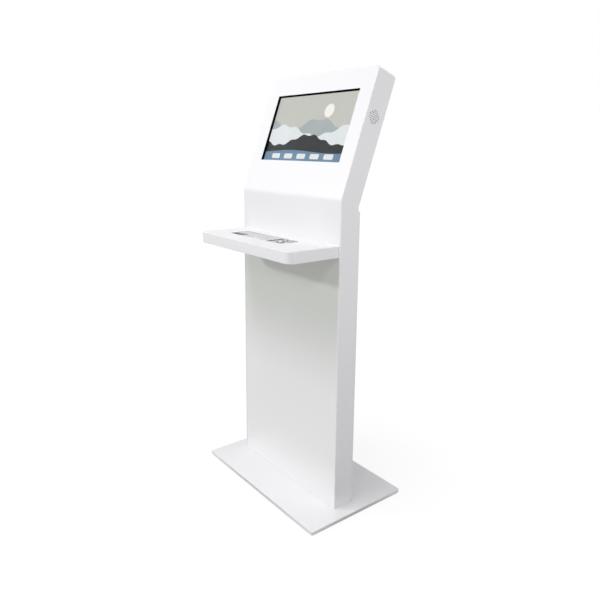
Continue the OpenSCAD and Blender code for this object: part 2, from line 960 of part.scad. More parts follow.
// Round loudspeaker behind the sound holes; side is -1 or 1
module speaker(side) {
    color("black")
        on_head()
            translate([side * (half_w - sheet), speaker_y, speaker_z])
                rotate([0, -side * 90, 0]) {
                    difference() {
                        union() {
                            cylinder(h = 3, r = 32);
                            translate([0, 0, 3])
                                cylinder(h = 15, r1 = 27, r2 = 16);
                            translate([0, 0, 18])
                                cylinder(h = 9, r = 18);
                        }
                        translate([0, 0, -1])
                            cylinder(h = 4, r = 26);
                        translate([0, 0, 3 - e])
                            cylinder(h = 12, r1 = 24, r2 = 9);
                    }
                }
}

// ---------------------------------------------------------------- fan

module fan_frame() {
    y1 = head_t - sheet;
    y0 = y1 - fan_t;
    color("black")
        on_head()
            difference() {
                union() {
                    difference() {
                        box([fan_x - fan_side / 2, fan_x + fan_side / 2], [y0, y1],
                            [fan_z - fan_side / 2, fan_z + fan_side / 2]);
                        rod_y(fan_x, y0 - 1, y1 + 1, fan_z, fan_r);
                    }
                    rod_y(fan_x, y0, y0 + 2.5, fan_z, 15);
                    for (k = [0:1])
                        translate([fan_x, y0, fan_z])
                            rotate([0, 45 + 90 * k, 0])
                                box([-fan_r - 1, fan_r + 1], [0, 2.5], [-2, 2]);
                    rod_y(fan_x, y0, y1 - 5, fan_z, 2);
                }
                for (x = [-1, 1], z = [-1, 1])
                    rod_y(fan_x + x * 36, y0 - 1, y1 + 1, fan_z + z * 36, 2.2);
            }
}

module fan_rotor() {
    y0 = head_t - sheet - fan_t + 3.5;
    blades = 7;
    depth = 18;
    color("dimgray")
        on_head()
            translate([fan_x, y0, fan_z])
                difference() {
                    union() {
                        rod_y(0, 0, depth, 0, 14);
                        for (k = [0:blades - 1])
                            rotate([0, 360 * k / blades, 0])
                                fan_blade(depth);
                    }
                    rod_y(0, -1, depth + 1, 0, 2.06);
                }
}

// One flat blade, set at an angle to the fan's plane
module fan_blade(depth) {
    translate([10, depth / 2, 0])
        rotate([35, 0, 0])
            box([0, fan_r - 12.5], [1.5 - depth / 2, depth / 2 - 1.5], [-0.8, 0.8]);
}

// ---------------------------------------------------------------- equipment in the column

module equipment_plate() {
    y0 = board_plate_y;
    panel_y = front_y + panel_inset + sheet;
    color("silver") {
        difference() {
            box([-240, 240], [y0, y0 + sheet], [240, 900]);
            for (x = [-225, 225], z = [260, 880])
                rod_y(x, y0 - 5, y0 + 5, z, 2.6);
        }
        for (x = [-225, 225], z = [260, 880])
            rod_y(x, panel_y, y0, z, 6);
    }
}

module mini_pc() {
    y0 = board_plate_y + sheet;
    y1 = y0 + pc_size[1];
    color("black")
        difference() {
            box([-pc_size[0] / 2, pc_size[0] / 2], [y0, y1], [pc_z, pc_z + pc_size[2]]);
            // Cooling grooves on the face towards the door
            for (k = [0:14])
                box([-90, 40], [y1 - 3, y1 + 1], [pc_z + 12 + 10 * k, pc_z + 16 + 10 * k]);
            rod_y(75, y1 - 7, y1 + 1, pc_z + 150, 8.4);
        }
}

module pc_power_button() {
    y1 = board_plate_y + sheet + pc_size[1];
    color("silver")
        rod_y(75, y1 - 4, y1 + 2, pc_z + 150, 8);
}

module power_supply() {
    y0 = board_plate_y + sheet;
    color("dimgray")
        difference() {
            box([-80, 80], [y0, y0 + 38], [psu_z, psu_z + 70]);
            for (k = [0:8])
                box([-64 + 15 * k, -58 + 15 * k], [y0 + 34, y0 + 40], [psu_z + 12, psu_z + 58]);
        }
}

// Socket block with a rocker switch at one end
module power_strip() {
    y0 = board_plate_y + sheet;
    y1 = y0 + 42;
    z_mid = strip_z + 25;
    color("whitesmoke")
        difference() {
            box([strip_x0, strip_x0 + 310], [y0, y1], [strip_z, strip_z + 50]);
            for (k = [0:3])
                rod_y(strip_x0 + 40 + 60 * k, y1 - 16, y1 + 1, z_mid, 19);
            box([rocker_x - 7.5, rocker_x + 7.5], [y1 - 14, y1 + 1], [z_mid - 12.5, z_mid + 12.5]);
        }
}

// The rocker turns about a line along X just under the strip's face
module strip_rocker() {
    y1 = board_plate_y + sheet + 42;
    z_mid = strip_z + 25;
    color("red")
        translate([rocker_x, y1 - 2, z_mid])
            rotate([rocker_tilt, 0, 0])
                intersection() {
                    rod_x(-7, 7, 0, 0, 11.5);
                    box([-10, 10], [-7, 5.5], [-20, 20]);
                }
}

// Mains inlet with three pins, set in the plinth
module mains_inlet() {
    color("black") {
        difference() {
            union() {
                box([inlet_x - 15.5, inlet_x + 15.5], [door_y1, door_y1 + 2],
                    [inlet_z - 26, inlet_z + 26]);
                box([inlet_x - 13.5, inlet_x + 13.5], [door_y1 - 26, door_y1],
                    [inlet_z - 23.7, inlet_z + 23.7]);
            }
            box([inlet_x - 12, inlet_x + 12], [door_y1 - 17, door_y1 + 3], [inlet_z - 20, inlet_z - 4]);
            box([inlet_x - 9, inlet_x + 9], [door_y1, door_y1 + 3], [inlet_z + 4, inlet_z + 20]);
        }
        for (x = [-7, 0, 7])
            box([inlet_x + x - 1, inlet_x + x + 1], [door_y1 - 17, door_y1 - 3],
                [inlet_z - 14, inlet_z - 10]);
    }
    // Network socket beside it
    color("black")
        difference() {
            box([socket_x - 7.8, socket_x + 7.8], [door_y1 - 20, door_y1 + 1],
                [inlet_z - 7.8, inlet_z + 7.8]);
            box([socket_x - 6, socket_x + 6], [door_y1 - 12, door_y1 + 2],
                [inlet_z - 6, inlet_z + 5]);
        }
}

// A straight round run between two points
module run(a, b, r) {
    d = b - a;
    length = norm(d);
    translate(a)
        rotate([0, acos(d[2] / length), atan2(d[1], d[0])])
            cylinder(h = length, r = r);
}

// A cable through its points, with a slightly fuller ball at each turn
module cable(points, r) {
    last = len(points) - 1;
    for (i = [0:last - 1])
        run(points[i], points[i + 1], r);
    for (i = [1:last - 1])
        translate(points[i])
            sphere(r + 0.4);
}

// Keyboard, display and mains leads, each from socket to socket inside the kiosk
module internal_cables() {
    cable_y = -38;
    pc_top = pc_z + pc_size[2];
    display_end = head_point(46, screen_mid - 70);
    color("dimgray") {
        cable([[cable_x, board_y1, shelf_mid_z], [cable_x, cable_y, shelf_mid_z],
               [cable_x, cable_y, pc_top]], 2.5);
        cable([[-40, cable_y, pc_top], [-40, cable_y, knee_z - 10],
               [-40, display_end[0], display_end[1]]], 3);
        cable([[inlet_x, door_y1 - 26, inlet_z], [inlet_x, cable_y, inlet_z],
               [inlet_x, cable_y, strip_z]], 4);
    }
}

base_plate();
floor_mat();
cable_grommet();
foot_bracket(-1);  // foot_bracket_left
foot_bracket(1);  // foot_bracket_right
foot_bolts();
side_panel(-1);  // side_panel_left
side_panel(1);  // side_panel_right
front_upper_panel();
front_lower_panel();
head_top_cap();
head_back_cover();
back_cover_screws();
back_crossbar();
rear_plinth();
rear_door();
door_stiffener();
hinge_leaves_fixed();
hinge_leaves_door();
hinge_pins();
lock_housing();
lock_cylinder();
shelf_top();
shelf_bottom();
shelf_bracket(-1);  // shelf_bracket_left
shelf_bracket(1);  // shelf_bracket_right
shelf_backing_bar();
shelf_bolts();
keyboard_cradle();
keyboard_housing();
keyboard_circuit();
keyboard_plate();
keys_row(1);  // keys_row_1
keys_row(2);  // keys_row_2
keys_row(3);  // keys_row_3
keys_row(4);  // keys_row_4
keys_row(5);  // keys_row_5
space_bar();
trackball();
trackball_cup();
trackball_ring();
click_button(0);  // button_left
click_button(1);  // button_right
touch_glass();
glass_gasket();
lcd_panel();
lcd_brackets();
lcd_driver_board();
speaker(-1);  // speaker_left
speaker(1);  // speaker_right
fan_frame();
fan_rotor();
equipment_plate();
mini_pc();
pc_power_button();
power_supply();
power_strip();
strip_rocker();
mains_inlet();
internal_cables();
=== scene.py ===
"""Touchscreen kiosk: the looks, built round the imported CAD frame.

Everything is in metres, in the row frame: origin on the floor under the middle of the base, +Z up,
the screen faces -Y and +X is to the right of a person who stands in front of it.
"""

import math

import bmesh
import bpy
from mathutils import Matrix, Vector


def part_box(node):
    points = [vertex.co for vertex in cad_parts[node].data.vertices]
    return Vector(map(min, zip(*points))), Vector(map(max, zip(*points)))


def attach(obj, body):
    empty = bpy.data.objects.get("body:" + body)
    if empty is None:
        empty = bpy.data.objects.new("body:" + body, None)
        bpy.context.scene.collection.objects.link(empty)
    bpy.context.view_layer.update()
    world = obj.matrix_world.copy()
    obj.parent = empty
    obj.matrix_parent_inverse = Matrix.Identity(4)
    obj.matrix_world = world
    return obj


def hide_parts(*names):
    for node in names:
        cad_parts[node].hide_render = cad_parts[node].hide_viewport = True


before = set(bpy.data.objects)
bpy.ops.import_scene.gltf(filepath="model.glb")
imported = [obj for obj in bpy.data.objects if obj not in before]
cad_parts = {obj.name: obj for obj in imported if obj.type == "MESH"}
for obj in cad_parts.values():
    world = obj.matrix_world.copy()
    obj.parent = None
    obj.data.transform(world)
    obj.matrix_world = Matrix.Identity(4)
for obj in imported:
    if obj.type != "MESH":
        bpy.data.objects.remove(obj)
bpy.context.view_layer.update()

# ---------------------------------------------------------------- sizes

TILT = math.radians(19.8)          # lean of the display head
HEAD_LEN = 0.476                   # its face, from the bend to the top edge
KNEE_R = 0.060                     # bend radius of the front sheet
CORNER_R = 0.022                   # the head's two upper corners
BACK_R = 0.015                     # the head's upper rear edge
EDGE_R = 0.003                     # folded front and rear edges of the body
TOP_R = 0.004                      # the head's upper front edge
SHEET = 0.002                      # thickness of the steel
RETURN_W = 0.014                   # flanges that the side panels fold inwards
LIP = 0.005                        # what is left of them beside the lower front panel
SCREEN_START = 0.128               # from the bend up to the screen opening
SCREEN_W, SCREEN_H = 0.478, 0.268
RIM_R = 0.0008                     # rounding of the screen opening's edge
RIM_DEPTH = 0.007
SHELF_R = 0.030                    # front corners of the shelf
SHELF_EDGE_R = 0.003               # upper edge of the shelf
KEY_PITCH = 0.0146                 # spacing of the keys along a row
KEY_GAP = 0.0022                   # between two keys
PICTURE_Y = 0.0132                 # depth of the display's lit area behind the face
PICTURE_Z = SCREEN_START + SCREEN_H / 2 - 0.0015
PICTURE_W, PICTURE_H = 0.4766, 0.2650
COVER_START = 0.014                # lower edge of the head's back cover
HEAD_DEPTH = 0.093                 # depth of the head, measured level
SPEAKER_Y, SPEAKER_Z = 0.039, HEAD_LEN - 0.172   # middle of the sound holes, on a side of the head
SPEAKER_PITCH, SPEAKER_HOLE_R = 0.007, 0.002
SPEAKER_ROWS = 3                   # rows of holes on either side of the middle one
NEAR = 1e-6                        # two lengths closer than this count as the same

side_lo, side_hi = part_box("side_panel_right")
panel_lo, panel_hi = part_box("front_lower_panel")
bar_lo, bar_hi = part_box("back_crossbar")
FRONT_Y = side_lo.y
HALF_W = side_hi.x
FOOT_Z = side_lo.z
BACK_Y = bar_lo.y + SHEET
COLUMN_D = BACK_Y - FRONT_Y
HEAD_T = HEAD_DEPTH * math.cos(TILT)
KNEE_Z = 1.182
CLEAR_X = HALF_W - RETURN_W
SCREEN_END = SCREEN_START + SCREEN_H
KEY_TOP_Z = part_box("keys_row_1")[1].z


def head_point(y, z, x=0.0):
    """A point given in the head's own axes: into the head and up its face."""
    return Vector((
        x,
        FRONT_Y + y * math.cos(TILT) + z * math.sin(TILT),
        KNEE_Z - y * math.sin(TILT) + z * math.cos(TILT),
    ))


# ---------------------------------------------------------------- materials

COAT_ROUGH = 0.44                  # the powder coat's roughness
SKIRT_PAINTED_SHADE = (0.04, 0.04, 0.042)   # the keys' sides, darkened as painted shade in the gaps between the keys
BRUSHED = (1500.0, 40.0, 40.0)     # stretches the noise into lines across the keyboard


def node_tree(name):
    """A new material with its tree, its Principled shader and the object coordinates."""
    mat = bpy.data.materials.new(name)
    mat.use_nodes = True
    tree = mat.node_tree
    shader = tree.nodes["Principled BSDF"]
    coords = tree.nodes.new("ShaderNodeTexCoord")
    return mat, tree, shader, coords.outputs["Object"]


def scaled(tree, vector, scale):
    """The coordinates stretched by scale on each axis."""
    mapping = tree.nodes.new("ShaderNodeMapping")
    mapping.inputs["Scale"].default_value = scale
    tree.links.new(vector, mapping.inputs["Vector"])
    return mapping.outputs["Vector"]


def noise(tree, vector, scale, detail=3.0, roughness=0.55):
    """Soft noise from about 0.3 to 0.7, with features of 1 / scale metres."""
    node = tree.nodes.new("ShaderNodeTexNoise")
    node.inputs["Scale"].default_value = scale
    node.inputs["Detail"].default_value = detail
    node.inputs["Roughness"].default_value = roughness
    tree.links.new(vector, node.inputs["Vector"])
    return node.outputs["Fac"]


def mapped(tree, value, to_min, to_max, from_min=0.0, from_max=1.0):
    """value stretched from one range to another, and held inside it."""
    node = tree.nodes.new("ShaderNodeMapRange")
    node.inputs["From Min"].default_value = from_min
    node.inputs["From Max"].default_value = from_max
    node.inputs["To Min"].default_value = to_min
    node.inputs["To Max"].default_value = to_max
    tree.links.new(value, node.inputs["Value"])
    return node.outputs["Result"]


def by_height(tree, at, from_z, to_z):
    """From 0 at the height from_z to 1 at the height to_z."""
    split = tree.nodes.new("ShaderNodeSeparateXYZ")
    tree.links.new(at, split.inputs[0])
    return mapped(tree, split.outputs["Z"], 0.0, 1.0, from_z, to_z)


def two_tone(tree, factor, dark, light):
    """A mix of two colours; light is a colour or another node's output."""
    node = tree.nodes.new("ShaderNodeMix")
    node.data_type = "RGBA"
    node.inputs["A"].default_value = (*dark, 1)
    if isinstance(light, tuple):
        node.inputs["B"].default_value = (*light, 1)
    else:
        tree.links.new(light, node.inputs["B"])
    tree.links.new(factor, node.inputs["Factor"])
    return node.outputs["Result"]


def bump(tree, shader, height, strength, distance, before=None):
    """Raises the surface by height, on top of the bump that came before it."""
    node = tree.nodes.new("ShaderNodeBump")
    node.inputs["Strength"].default_value = strength
    node.inputs["Distance"].default_value = distance
    tree.links.new(height, node.inputs["Height"])
    if before is not None:
        tree.links.new(before, node.inputs["Normal"])
    tree.links.new(node.outputs["Normal"], shader.inputs["Normal"])
    return node.outputs["Normal"]


def edge_wear(tree):
    """From 0 on flat faces to 1 along worn convex edges."""
    geometry = tree.nodes.new("ShaderNodeNewGeometry")
    return mapped(tree, geometry.outputs["Pointiness"], 0.0, 1.0, 0.52, 0.60)


def powder_coat(name, dark, light, heights=None):
    """Satin powder coat: fine orange peel, faint smudges, and a little polish along the edges.

    It turns from dark to light in soft patches or, where two heights are given, between them as painted
    shade, darkest at the first height.
    """
    mat, tree, shader, at = node_tree(name)
    patches = noise(tree, at, 3.0, 4.0)
    peel = noise(tree, at, 900.0, 2.0)
    waves = noise(tree, at, 9.0, 2.0)
    # with two heights the tone is painted shade, dark at the first height and light at the second
    tone = by_height(tree, at, *heights) if heights else patches
    tree.links.new(two_tone(tree, tone, dark, light), shader.inputs["Base Color"])
    smudge = mapped(tree, patches, COAT_ROUGH - 0.05, COAT_ROUGH + 0.06, 0.3, 0.7)
    worn = tree.nodes.new("ShaderNodeMath")
    worn.operation = "SUBTRACT"
    tree.links.new(smudge, worn.inputs[0])
    tree.links.new(mapped(tree, edge_wear(tree), 0.0, 0.06), worn.inputs[1])
    tree.links.new(worn.outputs["Value"], shader.inputs["Roughness"])
    soft = bump(tree, shader, waves, 0.02, 0.001)
    bump(tree, shader, peel, 0.04, 0.0002, soft)
    shader.inputs["Specular IOR Level"].default_value = 0.4
    shader.inputs["Coat Weight"].default_value = 0.6
    shader.inputs["Coat Roughness"].default_value = 0.2
    return mat


def metal(name, dark, light, rough, along=(60.0, 60.0, 1200.0), grain=0.12, skirt=None):
    """Brushed or plated metal: fine lines along one axis, with uneven gloss.

    skirt is two heights between which the keys' sides, dull and dark as painted shade in the gaps, turn
    into the bright top of a key.
    """
    mat, tree, shader, at = node_tree(name)
    lines = noise(tree, scaled(tree, at, along), 1.0, 3.0, 0.7)
    patches = noise(tree, at, 40.0, 3.0)
    tint = two_tone(tree, lines, dark, light)
    shader.inputs["Metallic"].default_value = 1.0
    # the keys' sides are made dark and dull: painted shade in the gaps between the keys
    if skirt:
        bright = by_height(tree, at, *skirt)
        tint = two_tone(tree, bright, SKIRT_PAINTED_SHADE, tint)
        tree.links.new(bright, shader.inputs["Metallic"])
    tree.links.new(tint, shader.inputs["Base Color"])
    gloss = mapped(tree, patches, rough - 0.08, rough + 0.10, 0.25, 0.75)
    tree.links.new(gloss, shader.inputs["Roughness"])
    bump(tree, shader, lines, grain, 0.0001)
    return mat


def plastic(name, dark, light, rough, grain_scale=1500.0, grain=0.15, spec=0.4, coat=0.0):
    """Moulded plastic or rubber with a fine texture and a soft change of tone."""
    mat, tree, shader, at = node_tree(name)
    patches = noise(tree, at, 25.0, 3.0)
    fine = noise(tree, at, grain_scale, 2.0)
    tree.links.new(two_tone(tree, patches, dark, light), shader.inputs["Base Color"])
    gloss = mapped(tree, patches, rough - 0.06, rough + 0.08, 0.3, 0.7)
    tree.links.new(gloss, shader.inputs["Roughness"])
    bump(tree, shader, fine, grain, 0.0001)
    shader.inputs["Specular IOR Level"].default_value = spec
    shader.inputs["Coat Weight"].default_value = coat
    return mat


def board(name):
    """Green circuit board: darker tracks under the lacquer."""
    mat, tree, shader, at = node_tree(name)
    bricks = tree.nodes.new("ShaderNodeTexBrick")
    bricks.inputs["Scale"].default_value = 160.0
    bricks.inputs["Mortar Size"].default_value = 0.06
    bricks.inputs["Color1"].default_value = (0.02, 0.16, 0.07, 1)
    bricks.inputs["Color2"].default_value = (0.02, 0.13, 0.06, 1)
    bricks.inputs["Mortar"].default_value = (0.05, 0.30, 0.12, 1)
    tree.links.new(at, bricks.inputs["Vector"])
    tree.links.new(bricks.outputs["Color"], shader.inputs["Base Color"])
    tree.links.new(mapped(tree, noise(tree, at, 60.0), 0.22, 0.38), shader.inputs["Roughness"])
    bump(tree, shader, bricks.outputs["Fac"], 0.2, 0.0001)
    return mat


def clear_glass(name):
    """Tempered cover glass with a trace of finger smears."""
    mat, tree, shader, at = node_tree(name)
    smears = noise(tree, scaled(tree, at, (8.0, 8.0, 14.0)), 1.0, 5.0)
    tree.links.new(mapped(tree, smears, 0.0, 0.06, 0.45, 0.85), shader.inputs["Roughness"])
    tint = two_tone(tree, smears, (0.96, 0.985, 0.975), (1.0, 1.0, 1.0))
    tree.links.new(tint, shader.inputs["Base Color"])
    shader.inputs["Transmission Weight"].default_value = 1.0
    shader.inputs["IOR"].default_value = 1.15
    return mat


def glowing(name, dark, light, scale):
    """A lit area of the display: its own light, in a soft mix of two colours."""
    mat, tree, shader, at = node_tree(name)
    tint = two_tone(tree, noise(tree, at, scale, 5.0), dark, light)
    shader.inputs["Base Color"].default_value = (0.0, 0.0, 0.0, 1)
    tree.links.new(tint, shader.inputs["Emission Color"])
    shader.inputs["Emission Strength"].default_value = 1.0
    shader.inputs["Specular IOR Level"].default_value = 0.05
    tree.links.new(mapped(tree, noise(tree, at, 300.0), 0.25, 0.35), shader.inputs["Roughness"])
    return mat


WHITE = powder_coat("white_powder_coat", (0.812, 0.810, 0.830), (0.832, 0.830, 0.848))
# Lower front panel: the white coat with the shelf's shadow painted in, grey above 0.78 m and nearly white
# below 0.46 m.
PAINTED_SHADE_COAT = powder_coat("lower_panel_painted_shade_coat", (0.685, 0.701, 0.663), (0.850, 0.850, 0.857),
                      heights=(0.78, 0.46))
STEEL = metal("zinc_plated_steel", (0.42, 0.43, 0.45), (0.60, 0.61, 0.63), 0.38)
# the keys: brushed steel tops, with their sides darkened as painted shade in the gaps
KEY_STEEL = metal("brushed_key_steel", (0.64, 0.65, 0.66), (0.78, 0.79, 0.80), 0.44, BRUSHED,
                  skirt=(KEY_TOP_Z - 0.0013, KEY_TOP_Z - 0.0004))
PLATE_STEEL = metal("brushed_plate_steel", (0.48, 0.48, 0.49), (0.62, 0.62, 0.63), 0.44, BRUSHED)
CHROME = metal("polished_lock_metal", (0.66, 0.66, 0.67), (0.74, 0.74, 0.75), 0.14, grain=0.03)
BLACK = plastic("black_moulded_plastic", (0.012, 0.012, 0.013), (0.022, 0.022, 0.023), 0.5)
GLOSS_BLACK = plastic("gloss_black_plastic", (0.010, 0.010, 0.011), (0.016, 0.016, 0.017), 0.2,
                      grain=0.03)
RUBBER = plastic("floor_rubber", (0.020, 0.020, 0.020), (0.034, 0.033, 0.032), 0.75,
                 grain_scale=700.0, grain=0.5)
FOAM = plastic("gasket_foam", (0.004, 0.004, 0.004), (0.009, 0.009, 0.009), 0.85,
               grain_scale=900.0, grain=0.6, spec=0.05)
BALL = plastic("trackball_white", (0.78, 0.78, 0.78), (0.86, 0.86, 0.86), 0.14,
               grain_scale=500.0, grain=0.02, spec=0.5, coat=0.4)
CASE = plastic("black_case_coat", (0.020, 0.020, 0.022), (0.032, 0.032, 0.035), 0.45,
               grain_scale=1100.0, grain=0.5)
STRIP = plastic("white_strip_plastic", (0.66, 0.66, 0.64), (0.74, 0.74, 0.72), 0.35,
                grain_scale=900.0, grain=0.1)
RED = plastic("red_switch_plastic", (0.45, 0.02, 0.015), (0.55, 0.03, 0.02), 0.25,
              grain_scale=900.0, grain=0.05, spec=0.5, coat=0.3)
CABLE = plastic("cable_sheath", (0.015, 0.015, 0.015), (0.026, 0.026, 0.026), 0.5,
                grain_scale=1200.0, grain=0.1)
BOARD = board("circuit_board")
GLASS = clear_glass("cover_glass")


# ---------------------------------------------------------------- mesh tools

def new_object(name, verts, faces, mat, smooth_angle=32.0):
    """An object in the scene, made of these points and faces, with one material."""
    mesh = bpy.data.meshes.new(name)
    mesh.from_pydata([tuple(v) for v in verts], [], faces)
    mesh.update()
    obj = bpy.data.objects.new(name, mesh)
    bpy.context.scene.collection.objects.link(obj)
    obj.data.materials.append(mat)
    tidy(obj, smooth_angle)
    return obj


def shade(obj, smooth_angle):
    """Shades the mesh smooth, apart from edges sharper than this many degrees."""
    obj.data.shade_smooth()
    obj.data.set_sharp_from_angle(angle=math.radians(smooth_angle))


def tidy(obj, smooth_angle):
    """Joins doubled points, turns the faces outwards and shades the mesh."""
    work = bmesh.new()
    work.from_mesh(obj.data)
    bmesh.ops.remove_doubles(work, verts=work.verts, dist=NEAR)
    bmesh.ops.recalc_face_normals(work, faces=work.faces)
    work.to_mesh(obj.data)
    work.free()
    shade(obj, smooth_angle)


def apply_modifiers(obj):
    """Turns what the modifiers make into the object's own mesh."""
    graph = bpy.context.evaluated_depsgraph_get()
    made = bpy.data.meshes.new_from_object(obj.evaluated_get(graph))
    obj.modifiers.clear()
    obj.data = made


def add_bevel(obj, width, angle=35.0):
    """Rounds the edges that are sharper than this many degrees."""
    mod = obj.modifiers.new("edges", "BEVEL")
    mod.width = width
    mod.segments = 2
    mod.limit_method = "ANGLE"
    mod.angle_limit = math.radians(angle)
    mod.harden_normals = True


def add_flat_normals(obj):
    """Keeps large faces flat in the shading, beside small rounded ones."""
    mod = obj.modifiers.new("normals", "WEIGHTED_NORMAL")
    mod.keep_sharp = True


def stand_in(obj, body, slot, *nodes):
    """obj rides on body and stands for these CAD nodes, which it hides. slot is not used."""
    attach(obj, body)
    if nodes:
        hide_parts(*nodes)


def dress(node, mat, bevel):
    """Gives a CAD node its material, and rounds its edges without touching its mesh."""
    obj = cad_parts[node]
    obj.data.materials.clear()
    obj.data.materials.append(mat)
    if bevel:
        merge = obj.modifiers.new("flat_faces", "DECIMATE")
        merge.decimate_type = "DISSOLVE"
        merge.angle_limit = math.radians(1.0)
        add_bevel(obj, bevel)


def loft(rings, caps=True):
    """Points and faces of a skin through closed rings that all have the same number of points."""
    count = len(rings[0])
    verts = [p for ring in rings for p in ring]
    faces = []
    for k in range(len(rings) - 1):
        for i in range(count):
            j = (i + 1) % count
            a, b = k * count, (k + 1) * count
            faces.append((a + i, a + j, b + j, b + i))
    if caps:
        faces.append(tuple(range(count))[::-1])
        start = (len(rings) - 1) * count
        faces.append(tuple(range(start, start + count)))
    return verts, faces


def arc(radius, start, stop, steps):
    """Points of an arc about the origin, from one angle to another, in degrees."""
    return [
        (radius * math.cos(math.radians(start + (stop - start) * k / steps)),
         radius * math.sin(math.radians(start + (stop - start) * k / steps)))
        for k in range(steps + 1)
    ]


def round_rect(x0, x1, y0, y1, radius, steps=6):
    """Outline of a rectangle with round corners, anticlockwise from the right-hand lower corner."""
    points = []
    for cx, cy, start in ((x1 - radius, y0 + radius, -90), (x1 - radius, y1 - radius, 0),
                          (x0 + radius, y1 - radius, 90), (x0 + radius, y0 + radius, 180)):
        points += [(cx + px, cy + py) for px, py in arc(radius, start, start + 90, steps)]
    return points


def plan_rings(plan, levels):
    """Rings for loft: plan gives an outline moved inwards by an inset, levels are (inset, height) pairs."""
    return [[(x, y, z) for x, y in plan(inset)] for inset, z in levels]


def quarter(radius, height, inset=0.0, steps=4, down=False):
    """Levels that round an upper edge of this radius which ends at height, or a lower one if down."""
    levels = []
    for k in range(steps + 1):
        a = math.pi / 2 * k / steps
        side = inset + radius * (1 - math.cos(a))
        drop = radius * (1 - math.sin(a))
        levels.append((side, height + drop) if down else (side, height - drop))
    return levels[::-1] if down else levels


def turned(name, profile, mat, place):
    """A turned piece: profile is (radius, height) from the axis outwards and back, place sets it down."""
    verts, faces = [], []
    steps = 64
    count = len(profile)
    for k in range(steps):
        a = 2 * math.pi * k / steps
        verts += [place @ Vector((r * math.cos(a), r * math.sin(a), z)) for r, z in profile]
    for k in range(steps):
        n = (k + 1) % steps
        for i in range(count - 1):
            faces.append((k * count + i, n * count + i, n * count + i + 1, k * count + i + 1))
    return new_object(name, verts, faces, mat)


def cut_away(obj, cutter):
    """Cuts the shape of cutter out of obj, and removes cutter."""
    mod = obj.modifiers.new("cut", "BOOLEAN")
    mod.operation = "DIFFERENCE"
    mod.solver = "EXACT"
    mod.object = cutter
    apply_modifiers(obj)
    bpy.data.objects.remove(cutter)


# ---------------------------------------------------------------- body of sheet steel

ARC_STEPS = 10


def outline(front_inset, top_drop):
    """Side view of the body as (tag, y, z) points: front edge, knee, face, top, back and back knee."""
    i = front_inset
    top = HEAD_LEN - top_drop
    points = [("front", FRONT_Y + i, FOOT_Z), ("front", FRONT_Y + i, panel_hi.z)]
    for k in range(ARC_STEPS + 1):
        a = TILT * k / ARC_STEPS
        y = FRONT_Y + KNEE_R - (KNEE_R - i) * math.cos(a)
        z = KNEE_Z - KNEE_R * math.tan(TILT / 2) + (KNEE_R - i) * math.sin(a)
        points.append(("face", y, z))
    for z in (SCREEN_START, SCREEN_END, HEAD_LEN - CORNER_R - TOP_R):
        p = head_point(i, z)
        points.append(("face", p.y, p.z))
    for px, py in arc(TOP_R, 180, 90, 4):
        p = head_point(i + TOP_R + px, top - TOP_R + py)
        points.append(("top", p.y, p.z))
    for px, py in arc(BACK_R - i, 90, 0, 8):
        p = head_point(HEAD_T - BACK_R + px, min(top, HEAD_LEN - BACK_R + py))
        points.append(("top", p.y, p.z))
    for z in (HEAD_LEN - CORNER_R - 0.0002, COVER_START):
        p = head_point(HEAD_T - i, z)
        points.append(("cover", p.y, p.z))
    knee = (COLUMN_D - i - (HEAD_T - i) * math.cos(TILT)) / math.sin(TILT)
    p = head_point(HEAD_T - i, knee)
    points.append(("bar", p.y, p.z))
    points.append(("bar", BACK_Y - i, bar_lo.z))
    points.append(("back", BACK_Y - i, FOOT_Z))
    return points


def rounding(x, radius):
    """How far a rounded side edge of this radius has dropped away at x."""
    over = max(0.0, x - (HALF_W - radius))
    return radius - math.sqrt(max(0.0, radius ** 2 - over ** 2))


def slices():
    """x of each slice through the right half of the body, with its front inset and its lowered top."""
    xs = {0.0, SCREEN_W / 2, CLEAR_X, HALF_W - LIP}
    xs |= {HALF_W - CORNER_R + px for px, _ in arc(CORNER_R, 90, 0, 12)}
    xs |= {HALF_W - EDGE_R + px for px, _ in arc(EDGE_R, 90, 0, 5)}
    return [(x, rounding(x, EDGE_R), rounding(x, CORNER_R)) for x in sorted(xs)]


SLICES = slices()


def skin_part(name, wanted, sides=(1, -1), cap=False):
    """The part of the body's skin, on these sides, whose cells wanted accepts, as 2 mm sheet.

    wanted gets a cell's two outline tags, then its two x and its two z; cap closes the outer side.
    """
    rings = [outline(i, d) for _, i, d in SLICES]
    count = len(rings[0])
    verts, faces = [], []
    for s in sides:
        start = len(verts)
        for (x, _, _), ring in zip(SLICES, rings):
            verts += [(s * x, y, z) for _, y, z in ring]
        for k in range(len(SLICES) - 1):
            for i in range(count - 1):
                a, b = rings[k][i], rings[k][i + 1]
                if not wanted(a[0], b[0], SLICES[k][0], SLICES[k + 1][0], a[2], b[2]):
                    continue
                p, q = start + k * count + i, start + (k + 1) * count + i
                faces.append((p, p + 1, q + 1, q) if s < 0 else (p, q, q + 1, p + 1))
        if cap:
            last = start + (len(SLICES) - 1) * count
            loop = tuple(range(last, last + count))
            faces.append(loop if s < 0 else loop[::-1])
    obj = new_object(name, verts, faces, WHITE, 60.0)
    drop_loose(obj)
    face_outwards(obj)
    thicken(obj)
    return obj


def drop_loose(obj):
    """Removes the points that no face uses."""
    work = bmesh.new()
    work.from_mesh(obj.data)
    loose = [v for v in work.verts if not v.link_faces]
    bmesh.ops.delete(work, geom=loose, context="VERTS")
    work.to_mesh(obj.data)
    work.free()


def face_outwards(obj):
    """Turns the skin's faces away from the middle of the body."""
    work = bmesh.new()
    work.from_mesh(obj.data)
    work.normal_update()
    total = 0.0
    for face in work.faces:
        at = face.calc_center_median()
        total += (at - middle_of_body(at)).dot(face.normal) * face.calc_area()
    if total < 0:
        bmesh.ops.reverse_faces(work, faces=work.faces)
    work.to_mesh(obj.data)
    work.free()


